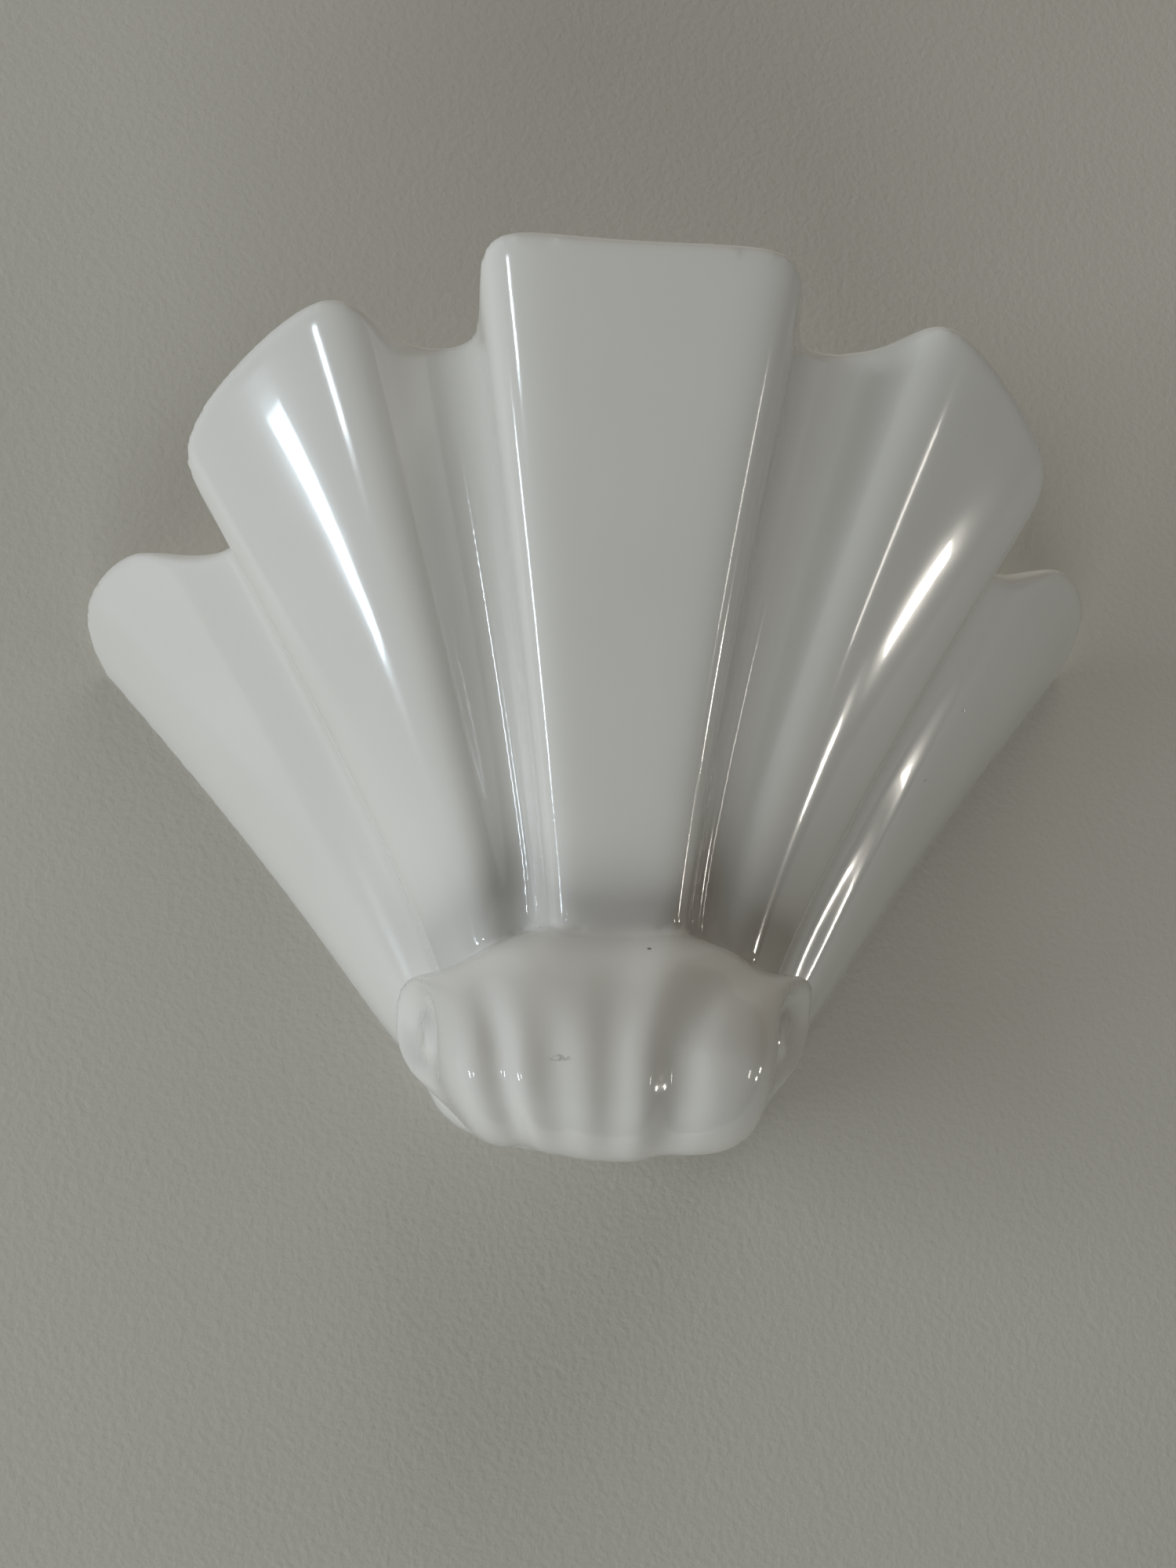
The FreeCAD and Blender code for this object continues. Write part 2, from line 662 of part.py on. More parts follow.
def holder_cap():
    """Lower half of the holder: a cup with a ledge that carries the insert."""
    cup = rod("cap_radius", "cap_height", "0", "-holder_axis", CAP_FOOT)
    well = rod("9", "cap_height", "0", "-holder_axis", CAP_FOOT + "+cap_floor")
    seat = rod("cap_radius-cap_wall", "cap_height", "0", "-holder_axis", CAP_FOOT + "+insert_bottom")
    entry = rod("0.5*nipple_hole", "cap_floor+2", "0", "-holder_axis", CAP_FOOT + "-1")
    return without(cup, [well, seat, entry])


def holder_skirt():
    """Upper half of the holder, screwed into the cap."""
    barrel = rod("cap_radius", "skirt_height", "0", "-holder_axis", CAP_FOOT + "+cap_height")
    spigot = rod("cap_radius-cap_wall", "skirt_thread",
                 "0", "-holder_axis", CAP_FOOT + "+cap_height-skirt_thread")
    bore = rod("insert_radius", "skirt_height+skirt_thread+2",
               "0", "-holder_axis", CAP_FOOT + "+cap_height-skirt_thread-1")
    return without(joined([barrel, spigot]), [bore])


def holder_insert():
    """Porcelain insert under the threaded shell, bored for the sprung contact and the leads."""
    disc = rod("insert_radius", "insert_height", "0", "-holder_axis", CAP_FOOT + "+insert_bottom")
    top = CAP_FOOT + "+insert_bottom+insert_height"
    bores = [rod("2.3", "4.5+1", "0", "-holder_axis", top + "-4.5")]
    for side in ("-", "+"):
        bores.append(rod("lead_radius", "4", "0", "-holder_axis" + side + "1.6",
                         CAP_FOOT + "+insert_bottom-1"))
        screw_x = side + "terminal_screw_offset" if side == "-" else "terminal_screw_offset"
        bores.append(rod("terminal_screw_radius", "5", screw_x, "-holder_axis",
                         CAP_FOOT + "+insert_bottom-1"))
    return without(disc, bores)


def holder_terminal_screws():
    base = CAP_FOOT + "+insert_bottom"
    return group([
        rod("terminal_screw_radius", "4", x, "-holder_axis", base)
        for x in ("-terminal_screw_offset", "terminal_screw_offset")
    ])


def holder_screw_shell():
    """Rolled brass shell the bulb screws into."""
    base = CAP_FOOT + "+insert_bottom+insert_height"
    tube = rod("screw_shell_radius", "screw_shell_height", "0", "-holder_axis", base)
    bore = rod("screw_shell_radius-screw_shell_wall", "screw_shell_height+2",
               "0", "-holder_axis", base + "-1")
    parts = [without(tube, [bore])]
    for k in range(5):
        ring = doc.addObject("Part::Torus", "Thread")
        ring.setExpression("Radius1", bound("screw_shell_radius"))
        ring.Radius2 = 0.35
        move(ring, "0", "-holder_axis", base + "+5+%.1f" % (2.8 * k))
        parts.append(ring)
    inside = rod("screw_shell_radius-screw_shell_wall", "screw_shell_height+2",
                 "0", "-holder_axis", base + "-1")
    return without(joined(parts), [inside])


def holder_centre_contact():
    """Sprung plunger under the bulb's tip."""
    top = CAP_FOOT + "+insert_bottom+insert_height"
    return rod("2", "6.5", "0", "-holder_axis", top + "-2.3")


# ---------------------------------------------------------------- bulb
TIP = CAP_FOOT + "+insert_bottom+insert_height+4.5"


def bulb_contact_tip():
    return cone("1.4", "2.4", "1.2", "0", "-holder_axis", TIP)


def bulb_cap_insulator():
    return cone("2.4", "5.6", "2.4", "0", "-holder_axis", TIP + "+1.2")


def bulb_screw_cap():
    base = TIP + "+3.6"
    barrel = rod("bulb_cap_radius-0.4", "bulb_cap_height", "0", "-holder_axis", base)
    parts = [barrel]
    for k in range(5):
        rib = cone("bulb_cap_radius-0.5", "bulb_cap_radius", "0.7",
                   "0", "-holder_axis", base + "+1.5+%.1f" % (2.8 * k))
        fall = cone("bulb_cap_radius", "bulb_cap_radius-0.5", "0.7",
                    "0", "-holder_axis", base + "+2.2+%.1f" % (2.8 * k))
        parts += [rib, fall]
    bore = rod("bulb_cap_radius-1", "bulb_cap_height", "0", "-holder_axis", base + "+0.6")
    return without(joined(parts), [bore])


def bulb_collar():
    """Moulded housing between the screw cap and the globe."""
    base = TIP + "+3.6+bulb_cap_height"
    outer = cone("bulb_cap_radius+1.2", "collar_top_radius", "collar_height",
                 "0", "-holder_axis", base)
    inner = cone("bulb_cap_radius-1", "collar_top_radius-2", "collar_height",
                 "0", "-holder_axis", base + "+2")
    return without(outer, [inner])


def bulb_globe():
    """Opal globe, open at its neck where it sits in the collar."""
    seat = TIP + "+3.6+bulb_cap_height+collar_height"
    centre = seat + "+18.4"
    outer = ball("globe_radius", "0", "-holder_axis", centre)
    inner = ball("globe_radius-globe_wall", "0", "-holder_axis", centre)
    below = box("60", "60", "30", "-30", "-holder_axis-30", seat + "-30")
    return without(outer, [inner, below])


# ---------------------------------------------------------------- wiring
TUBE_OFF_STRAP = 6.0


def rounded_path(points, radius):
    """Wire of straight runs joined by tangent arcs."""
    edges = []
    start = points[0]
    for before, corner, after in zip(points, points[1:], points[2:]):
        back = (before - corner).normalize()
        ahead = (after - corner).normalize()
        half = back.getAngle(ahead) / 2
        reach = radius / math.tan(half)
        first = corner + back * reach
        last = corner + ahead * reach
        middle = (back + ahead).normalize()
        apex = corner + middle * (radius / math.sin(half) - radius)
        edges.append(Part.makeLine(start, first))
        edges.append(Part.Arc(first, apex, last).toShape())
        start = last
    edges.append(Part.makeLine(start, points[-1]))
    return Part.Wire(edges)


def lead(label, points, radius):
    """Insulated lead swept along a rounded path."""
    path = rounded_path([FreeCAD.Vector(*point) for point in points], radius)
    start = path.Edges[0]
    circle = Part.makeCircle(dim("lead_radius"), start.valueAt(start.FirstParameter),
                             start.tangentAt(start.FirstParameter))
    solid = path.makePipeShell([Part.Wire([circle])], True, False)
    feature = doc.addObject("Part::Feature", label)
    feature.Shape = solid
    return feature


def lamp_lead(label, x, into, clearance):
    """From under the terminal block, below the nipple and up through it into the insert."""
    p = dim("strap_gauge") + TUBE_OFF_STRAP
    below = -dim("arm_foot") - dim("nipple_below") - clearance
    end = value(CAP_FOOT + "+insert_bottom+3")
    y = -dim("holder_axis") + into
    return lead(label, ((x, -p, -2), (x, -p, below), (0, y, below), (0, y, end)), 5.0)


def live_lead():
    return lamp_lead("live_lead", value(POLES[0]), -1.6, 7.0)


def neutral_lead():
    return lamp_lead("neutral_lead", value(POLES[1]), 1.6, 3.5)


def earth_lead():
    p = dim("strap_gauge") + TUBE_OFF_STRAP
    x = value(POLES[2])
    far = dim("earth_offset")
    end_p = dim("strap_gauge") + 2.6
    return lead("earth_lead", (
        (x, -p, -2), (x, -p, -20), (far - 12, -p, -20), (far, -end_p, -20), (far, -end_p, -10.7),
    ), 3.0)


MAKERS = (
    ceramic_shell, wall_bracket, lamp_arm, arm_rivets, cable_grommet,
    earth_ring_terminal, earth_washer, earth_screw,
    terminal_block_body, terminal_block_tubes, terminal_block_screws, terminal_block_fixing_screw,
    entry_nipple, lower_locknut, upper_locknut, toothed_lock_washer,
    holder_cap, holder_skirt, holder_insert, holder_terminal_screws, holder_screw_shell,
    holder_centre_contact,
    bulb_contact_tip, bulb_cap_insulator, bulb_screw_cap, bulb_collar, bulb_globe,
    live_lead, neutral_lead, earth_lead,
)
nodes = []
for maker in MAKERS:
    node = maker()
    node.Label = maker.__name__
    nodes.append(node)
doc.recompute()

for item in doc.Objects:
    if "Invalid" in item.State or "Error" in item.State:
        raise RuntimeError("%s did not recompute" % item.Label)
os.makedirs("parts", exist_ok=True)
for node in nodes:
    if node.Shape.isNull() or not node.Shape.isValid():
        raise RuntimeError("%s has no valid shape" % node.Label)
    node.Shape.exportStep("parts/%s.step" % node.Label)
    print(node.Label, len(node.Shape.Solids), round(node.Shape.Volume, 1))
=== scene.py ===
import math
import bmesh
import bpy
import numpy as np
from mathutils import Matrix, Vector

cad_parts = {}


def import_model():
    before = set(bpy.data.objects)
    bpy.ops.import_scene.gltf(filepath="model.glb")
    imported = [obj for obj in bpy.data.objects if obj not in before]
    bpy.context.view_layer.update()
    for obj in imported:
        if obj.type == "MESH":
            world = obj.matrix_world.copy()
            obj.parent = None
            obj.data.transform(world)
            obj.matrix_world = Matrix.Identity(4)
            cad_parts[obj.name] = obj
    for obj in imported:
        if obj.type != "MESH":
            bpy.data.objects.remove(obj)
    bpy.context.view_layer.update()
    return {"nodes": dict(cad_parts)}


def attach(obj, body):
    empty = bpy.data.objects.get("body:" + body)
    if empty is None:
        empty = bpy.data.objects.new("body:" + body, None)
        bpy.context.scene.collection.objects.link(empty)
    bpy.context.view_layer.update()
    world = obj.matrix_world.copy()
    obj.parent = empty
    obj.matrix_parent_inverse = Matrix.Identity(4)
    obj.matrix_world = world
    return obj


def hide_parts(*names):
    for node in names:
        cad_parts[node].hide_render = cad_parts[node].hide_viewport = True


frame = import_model()
MM = 0.001

# ------------------------------------------------------------------ shell form, in millimetres
CREASE = -48.0          # height of the crease between flutes and scroll
WALL_THICKNESS = 7.0
SCROLL_WALL = 7.0
LIP = 3.2               # the rounded lip stands this far past the rim
# Sections as (x, protrusion from the wall, height above the crease), at the rim and at the crease.
CENTRE = ((0.5, 151, 149), (0.5, 79, 2))
RIGHT = (
    ((16, 151, 149.3), (8.5, 79, 2)),
    ((30, 150.5, 149.5), (15, 78.5, 2.5)),
    ((35.5, 145, 149), (18.5, 75, 3)),
    ((37.5, 130, 144.5), (20, 70, 4)),
    ((41, 117, 143.5), (21.5, 66, 4)),
    ((52, 110, 143.5), (24.5, 64, 3.5)),
    ((61.5, 114, 145), (27.5, 64, 2.5)),
    ((67, 124, 146), (30.5, 65, 0)),
    ((74, 130, 146.5), (34.5, 65, -3)),
    ((91.5, 117.5, 139.5), (42, 59.5, -7)),
    ((111.5, 98.5, 128), (48, 49, -11)),
    ((117, 87, 121.5), (50, 44, -12)),
    ((111.5, 76, 110), (50, 39, -13)),
    ((108, 63, 103.5), (52, 35, -15)),
    ((120, 55, 103.5), (56, 31, -18)),
    ((132, 50, 108), (59.5, 29, -21)),
    ((143.5, 43, 113), (63, 26, -23)),
    ((158, 27, 108.5), (67, 17, -27)),
    ((165.5, 11, 101), (71, 8, -30)),
    ((162, 0, 88), (72, 0, -32)),
)
LEFT = (
    ((-16, 151, 149.5), (-7.5, 79, 2.2)),
    ((-31.5, 150.5, 151.5), (-13.5, 78.5, 3)),
    ((-37, 145, 151), (-17, 75, 4)),
    ((-36.5, 131, 144.5), (-18, 70, 5)),
    ((-38, 117, 142), (-19.5, 66, 5)),
    ((-46, 110, 141.5), (-22.5, 64, 4)),
    ((-54, 114, 142), (-25.5, 64, 2.5)),
    ((-60, 124, 144), (-28.5, 65, 0)),
    ((-69.5, 131, 148.5), (-32.5, 65, -3)),
    ((-88, 118.5, 141), (-39, 59.5, -7)),
    ((-108.5, 99.5, 129), (-44.5, 49, -10.5)),
    ((-113, 88, 121), (-46, 44, -11.5)),
    ((-105, 77, 112), (-46, 39, -13)),
    ((-101.5, 65, 105.5), (-48, 35, -15)),
    ((-115, 57, 104), (-52, 31, -18)),
    ((-127, 51, 107), (-55, 29, -21)),
    ((-138, 44, 112), (-58, 26, -23)),
    ((-155, 27, 106), (-62, 17, -27)),
    ((-163.5, 11, 96), (-65.5, 8, -30)),
    ((-158, 0, 83), (-66.5, 0, -32)),
)
# Scroll rings as (x in front, x at the top, x underneath, reach in front, reach at the top,
# reach underneath, protrusion and height of the centre, turn). The turn carries a ring's middle
# outside its front, so that the scroll's ends look outwards and forwards. Each end is a rolled
# rim around a shallow dish with a small eye in it.
SCROLL = (
    (-50.5, -50.5, -50.5, 1.5, 1.5, 1.5, 67, -24.5, 0.5),
    (-50, -50, -50, 4, 4, 4, 67, -24.5, 1.5),
    (-47, -47, -47, 6.5, 6.5, 6.5, 67, -24.5, 2.5),
    (-45.5, -46.5, -45.5, 11, 9, 8.5, 67.5, -24, 4.4),
    (-46.6, -46.6, -43.5, 15.5, 12, 11, 68, -23.5, 6.2),
    (-45.8, -46.6, -41.6, 18.5, 14.5, 13.5, 69, -23.7, 6.8),
    (-43.5, -44.6, -38.4, 22.5, 17, 17.5, 70, -25, 5.6),
    (-40, -43.7, -33.2, 26, 18.8, 23.3, 71.5, -26.2, 3.8),
    (-36, -41.4, -27.5, 27.3, 20.5, 25.5, 72.5, -26.5, 2.6),
    (-30.5, -37.6, -22.5, 25.4, 23, 25, 74, -26.5, 1.4),
    (-25.5, -31.2, -18.5, 28.5, 26.8, 26.5, 75, -26.5, 0.8),
    (-18, -21.7, -13.5, 27.4, 30.4, 27.5, 75.5, -26.5, 0.3),
    (-10.5, -12, -8.5, 29.2, 30, 28.5, 75.5, -26.5, 0),
    (-3.5, 1, -3, 28.0, 29.4, 29, 75.5, -26.5, 0),
    (4, 16, 3.5, 29.2, 29.6, 29.2, 75.5, -26.5, 0),
    (13, 29.5, 10.5, 25.0, 25, 28, 74.5, -26.5, -0.8),
    (21, 35, 18, 28.3, 20.5, 28.3, 73.5, -26.5, -2),
    (30, 38, 25.5, 28.2, 18.8, 27.5, 72, -26.5, -3.5),
    (36, 40.5, 31.5, 25.8, 17.6, 23.5, 70.5, -26.2, -5.5),
    (39.2, 42.5, 34, 22, 16, 18, 69.5, -25.2, -7.5),
    (40.5, 43.8, 35.9, 18.5, 14, 13.5, 68.5, -24.2, -8.8),
    (40.9, 43.6, 36.7, 15.5, 11.5, 11, 68, -24.2, -8.4),
    (40, 42.6, 38.4, 11, 8.8, 8.5, 67.5, -24.5, -6.6),
    (42, 43, 42, 6.5, 6.5, 6.5, 67, -25, -4.2),
    (46, 46, 46, 4, 4, 4, 67, -25, -2),
    (46.8, 46.8, 46.8, 1.5, 1.5, 1.5, 67, -25, -0.7),
)
INSET_SHRINK = 45.0     # half length over which the scroll's hollow draws in by its wall
HOLLOW_PASSES = 5       # smoothing passes: the scroll's hollow follows its ribs only softly
# Heel rows under the flutes as (half width, depth, height at the sides, height in the middle).
HEEL = ((52, 56, -46, -60), (51, 32, -47, -65), (51, 0, -47, -67))
HEEL_BLEND = (0.45, 0.3)    # shares of the heel, across and outwards, in the row that leads to it
SECTIONS = LEFT[::-1] + (CENTRE,) + RIGHT
COUNT = len(SECTIONS)
UPPER_ROWS = 5
BOW = 6.0               # how far the flutes bow in towards the wall between rim and crease
BOW_FULL = (160, 150)   # x and protrusion of a rim point that bows by the full amount
ALONG_FLUTE = (0.0, 0.42, 0.9)  # from the crease to the rim
# The hollow's cutter reaches past the mouth and past the back by these lengths.
PAST_MOUTH = 25.0
PAST_BACK = 4.0
# Mesh counts as (rows, columns), and the steps round a scroll ring.
SKIN_MESH = (120, 400)
HOLLOW_MESH = (90, 300)
LIP_ROWS = 9
SCROLL_MESH = (180, 128)

# The hanging lugs rest on the bracket's hooks, which lean out of the wall.
HOOK_ANGLE = math.radians(35)
STRAP_TOP = 12.5
HOOK_SET = 2.0          # the hooks leave the strap this far below its top edge
STRAP_GAUGE = 2.0
HOOK_GAP = 0.35
LUG_TOP = 31.0
LUG_DEPTH = 9
LUG_INNER = 86.0
LUG_OUTER = {-1: 133.0, 1: 134.0}

# Welding and smoothing of the whole casting, at full and at quick quality.
VOXEL = {False: 0.0010, True: 0.0016}
SMOOTHING = {False: 14, True: 8}


def upper_row(t):
    """Outer points at share t of the way from the crease to the rim."""
    row = []
    for rim, base in SECTIONS:
        x, p, z = (b + (r - b) * t for r, b in zip(rim, base))
        bow = BOW * 4 * t * (1 - t)
        row.append((x - 0.5 * bow * rim[0] / BOW_FULL[0], p - bow * rim[1] / BOW_FULL[1], z))
    return row


def heel_row(half, depth, z_side, z_middle, inset=0.0):
    """Points of one rounded row under the flutes, from the left to the right back edge."""
    row = []
    for k in range(COUNT):
        angle = (2 * k / (COUNT - 1) - 1) * math.pi / 2
        level = 0.0 if k in (0, COUNT - 1) else math.cos(angle)
        x = (half - inset) * math.copysign(abs(math.sin(angle)) ** 0.85, angle)
        p = max(depth - inset, 0) * level ** 0.5
        row.append((x, p, z_side + (z_middle + inset - z_side) * level))
    return row


def mixed(first, second, t_across, t_out):
    """Row between two rows, with one share for x and height and another for the protrusion."""
    return [
        (a[0] + (b[0] - a[0]) * t_across, a[1] + (b[1] - a[1]) * t_out, a[2] + (b[2] - a[2]) * t_across)
        for a, b in zip(first, second)
    ]


def closed_below(rows, inset):
    """Surface net from the flutes' rows, closed by the heel."""
    heel = [heel_row(*row, inset) for row in HEEL]
    return np.array(rows + [mixed(rows[-1], heel[0], *HEEL_BLEND)] + heel, float)


def outer_net():
    rows = [upper_row(1 - k / (UPPER_ROWS - 1)) for k in range(UPPER_ROWS)]
    return closed_below(rows, 0.0)


def smoothed(row, passes):
    """Row with its inner points averaged with their neighbours, once per pass."""
    row = np.array(row, float)
    for _ in range(passes):
        row[1:-1] = (row[:-2] + 2 * row[1:-1] + row[2:]) / 4
    return row


def inset_row(row, wall):
    """Row moved inwards by the wall, with its two ends kept on the back plane."""
    out = row.copy()
    run = np.vstack([row[1] - row[0], row[2:] - row[:-2], row[-1] - row[-2]])
    run /= np.linalg.norm(run, axis=1)[:, None]
    normal = np.cross(run, np.array(ALONG_FLUTE))
    normal /= np.linalg.norm(normal, axis=1)[:, None]
    out += normal * wall
    out[:, 1] = np.maximum(out[:, 1], 0)
    for k in (0, -1):
        out[k] = (row[k][0] - math.copysign(wall, row[k][0]), 0, row[k][2])
    return out


def inner_net():
    """Inner surface: plainer towards the crease, where a cast hollow loses the flutes."""
    rows = []
    for k in range(UPPER_ROWS):
        t = 1 - k / (UPPER_ROWS - 1)
        passes = 1 + round(10 * (1 - t) ** 1.5)
        row = inset_row(smoothed(upper_row(t), passes), WALL_THICKNESS)
        rows.append(list(map(tuple, row)))
    return closed_below(rows, WALL_THICKNESS)


def basis(poles, samples, degree=3):
    """Clamped uniform B-spline basis, one row per sample."""
    degree = min(degree, poles - 1)
    knots = np.concatenate([np.zeros(degree), np.linspace(0, 1, poles - degree + 1), np.ones(degree)])
    t = np.minimum(np.linspace(0, 1, samples), 1 - 1e-12)
    table = np.array([(t >= knots[i]) & (t < knots[i + 1]) for i in range(len(knots) - 1)], float).T
    for d in range(1, degree + 1):
        grown = np.zeros((samples, table.shape[1] - 1))
        for i in range(grown.shape[1]):
            left = knots[i + d] - knots[i]
            right = knots[i + d + 1] - knots[i + 1]
            if left > 0:
                grown[:, i] += (t - knots[i]) / left * table[:, i]
            if right > 0:
                grown[:, i] += (knots[i + d + 1] - t) / right * table[:, i + 1]
        table = grown
    return table


def surface(net, rows, columns):
    """Grid of points on the B-spline surface of a net."""
    return np.einsum("ai,bj,ijk->abk", basis(net.shape[0], rows), basis(net.shape[1], columns), net)


def world(points):
    """Shell coordinates to the part's frame, in metres."""
    points = np.asarray(points, float)
    return np.stack([points[..., 0], -points[..., 1], points[..., 2] + CREASE], -1) * MM


def linked(name, bm):
    """New object in the scene from a finished bmesh."""
    mesh = bpy.data.meshes.new(name)
    bm.to_mesh(mesh)
    bm.free()
    item = bpy.data.objects.new(name, mesh)
    bpy.context.scene.collection.objects.link(item)
    return item


def mesh_object(name, grids):
    """Closed mesh from point grids; coincident edges are welded and end loops filled."""
    bm = bmesh.new()
    for grid in grids:
        rows, columns = grid.shape[:2]
        verts = [[bm.verts.new(point) for point in row] for row in grid]
        for i in range(rows - 1):
            for j in range(columns - 1):
                bm.faces.new((verts[i][j], verts[i][j + 1], verts[i + 1][j + 1], verts[i + 1][j]))
    bmesh.ops.remove_doubles(bm, verts=bm.verts, dist=2e-6)
    bmesh.ops.dissolve_degenerate(bm, edges=bm.edges, dist=1e-6)
    holes = [edge for edge in bm.edges if edge.is_boundary]
    if holes:
        bmesh.ops.holes_fill(bm, edges=holes, sides=0)
    bmesh.ops.triangulate(bm, faces=[face for face in bm.faces if len(face.verts) > 4])
    bmesh.ops.recalc_face_normals(bm, faces=bm.faces)
    return linked(name, bm)


def skin_object():
    """The fluted wall of the casting, closed by a rounded lip and a flat back edge."""
    outer = outer_net()
    inner = inner_net()
    out_grid = surface(outer, *SKIN_MESH)
    in_grid = surface(inner, *SKIN_MESH)
    along = outer[0] - outer[1]
    along[[0, -1], 1] = 0
    along /= np.linalg.norm(along, axis=1)[:, None]
    lip_net = np.array([outer[0], outer[0] + along * LIP, inner[0] + along * LIP, inner[0]])
    lip = surface(lip_net, LIP_ROWS, SKIN_MESH[1])
    # flat back against the wall, from the outer outline to the inner one
    out_loop = np.vstack([out_grid[:, 0], out_grid[-1], out_grid[::-1, -1]])
    in_loop = np.vstack([in_grid[:, 0], in_grid[-1], in_grid[::-1, -1]])
    flange = np.array([out_loop, in_loop])
    middle = LIP_ROWS // 2
    caps = [np.array([lip[:middle + 1, side], lip[:middle - 1:-1, side]]) for side in (0, -1)]
    return mesh_object("skin", [world(g) for g in (out_grid, in_grid, lip, flange, *caps)])


def hollow_object():
    """Cutter for the hollow: the inner surface, carried past the mouth and the back."""
    front = surface(inner_net(), *HOLLOW_MESH)
    above = front[0] + np.array((0, 0, PAST_MOUTH))
    behind = front[0] * (1, 0, 1) + np.array((0, -PAST_BACK, PAST_MOUTH))
    back_loop = np.vstack([front[:, 0], front[-1], front[::-1, -1]])
    past = back_loop + np.array((0, -PAST_BACK, 0))
    cap = np.array([front[0], above])
    lid = np.array([above, behind])
    return mesh_object("hollow", [world(g) for g in (front, cap, lid, np.array([back_loop, past]))])


def scroll_object(name, inset):
    """The rolled foot, or its hollow when it is inset by the wall."""
    rows, steps = SCROLL_MESH
    rings = []
    shrink = 1 - inset / INSET_SHRINK
    table = SCROLL if inset == 0 else smoothed(SCROLL, HOLLOW_PASSES)
    for front, top, under, reach, crown, sole, depth, height, turn in table:
        angle = np.linspace(-math.pi, math.pi, steps + 1)
        level = np.sin(angle)
        up = np.maximum(level, 0)
        down = np.maximum(-level, 0)
        lean = (top - front) * up ** 1.5 + (under - front) * down ** 1.5
        reach = reach + (crown - reach) * up ** 1.2 + (sole - reach) * down ** 2
        reach = np.maximum(reach - inset, 0.8)
        x = (front + lean - turn * (1 - np.cos(angle))) * shrink
        rings.append(np.stack([x, depth + reach * np.cos(angle), height + reach * level], -1))
    rings = np.array(rings)
    rings = np.einsum("ai,ijk->ajk", basis_interpolating(len(rings), rows), rings)
    tips = [np.repeat(rings[k].mean(axis=0)[None], steps + 1, axis=0)[None] for k in (0, -1)]
    return mesh_object(name, [world(np.vstack([tips[0], rings, tips[1]]))])


def basis_interpolating(count, samples):
    """Rows that carry a smooth curve through every ring (Catmull-Rom weights)."""
    table = np.zeros((samples, count))
    for row, t in enumerate(np.linspace(0, count - 1, samples)):
        k = min(int(t), count - 2)
        f = t - k
        weights = (
            (-f + 2 * f ** 2 - f ** 3) / 2,
            (2 - 5 * f ** 2 + 3 * f ** 3) / 2,
            (f + 4 * f ** 2 - 3 * f ** 3) / 2,
            (-f ** 2 + f ** 3) / 2,
        )
        for step, weight in zip((-1, 0, 1, 2), weights):
            table[row, min(max(k + step, 0), count - 1)] += weight
    return table


def prism(name, outline, start, direction):
    """Closed prism from a polygon outline (3-D points) swept along a direction."""
    outline = np.array(outline, float)
    other = outline + np.array(direction, float)
    bm = bmesh.new()
    low = [bm.verts.new(world(point + np.array(start))) for point in outline]
    high = [bm.verts.new(world(point + np.array(start))) for point in other]
    bm.faces.new(low)
    bm.faces.new(high[::-1])
    for k in range(len(low)):
        n = (k + 1) % len(low)
        bm.faces.new((low[k], high[k], high[n], low[n]))
    bmesh.ops.recalc_face_normals(bm, faces=bm.faces)
    return linked(name, bm)


def apply_modifiers(item):
    graph = bpy.context.evaluated_depsgraph_get()
    mesh = bpy.data.meshes.new_from_object(item.evaluated_get(graph))
    item.modifiers.clear()
    item.data = mesh


def combine(base, other, operation):
    """Boolean of two closed meshes, kept in the first; the second is used up."""
    step = base.modifiers.new("step", "BOOLEAN")
    step.operation = operation
    step.object = other
    step.solver = "MANIFOLD"
    apply_modifiers(base)
    bpy.data.objects.remove(other)


def lug_object(side):
    """Lug on one side, sloped underneath to sit on its hook."""
    level = math.cos(HOOK_ANGLE)
    foot = STRAP_TOP - HOOK_SET + STRAP_GAUGE * level + HOOK_GAP / level - CREASE
    toe = foot + LUG_DEPTH * math.tan(HOOK_ANGLE)
    top = LUG_TOP - CREASE
    outline = [(0, 0, foot), (0, LUG_DEPTH, toe), (0, LUG_DEPTH, top), (0, 0, top)]
    along = side * (LUG_OUTER[side] - LUG_INNER)
    return prism("lug", outline, (side * LUG_INNER, 0, 0), (along, 0, 0))


def ceramic():
    """The whole casting: flutes, scroll and lugs welded into one smooth closed mesh."""
    skin = skin_object()
    hollow = hollow_object()
    scroll = scroll_object("scroll", 0.0)
    combine(scroll, hollow, "DIFFERENCE")
    combine(skin, scroll, "UNION")
    combine(skin, scroll_object("scroll_inside", SCROLL_WALL), "DIFFERENCE")
    for side in (-1, 1):
        combine(skin, lug_object(side), "UNION")
    skin.name = "ceramic_casting"
    skin.data.name = "ceramic_casting"
    remesh = skin.modifiers.new("remesh", "REMESH")
    remesh.mode = "VOXEL"
    remesh.voxel_size = VOXEL[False]
    smooth = skin.modifiers.new("smooth", "SMOOTH")
    smooth.factor = 0.5
    smooth.iterations = SMOOTHING[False]
    apply_modifiers(skin)
    for polygon in skin.data.polygons:
        polygon.use_smooth = True
    return skin


# ------------------------------------------------------------------ materials
def material(name, colour, roughness, metallic=0.0, **sockets):
    """Plain material and its shader; other sockets by name, with _ for a space."""
    made = bpy.data.materials.new(name)
    made.use_nodes = True
    shader = made.node_tree.nodes["Principled BSDF"]
    shader.inputs["Base Color"].default_value = (*colour, 1)
    shader.inputs["Roughness"].default_value = roughness
    shader.inputs["Metallic"].default_value = metallic
    for socket, level in sockets.items():
        shader.inputs[socket.replace("_", " ")].default_value = level
    return made, shader


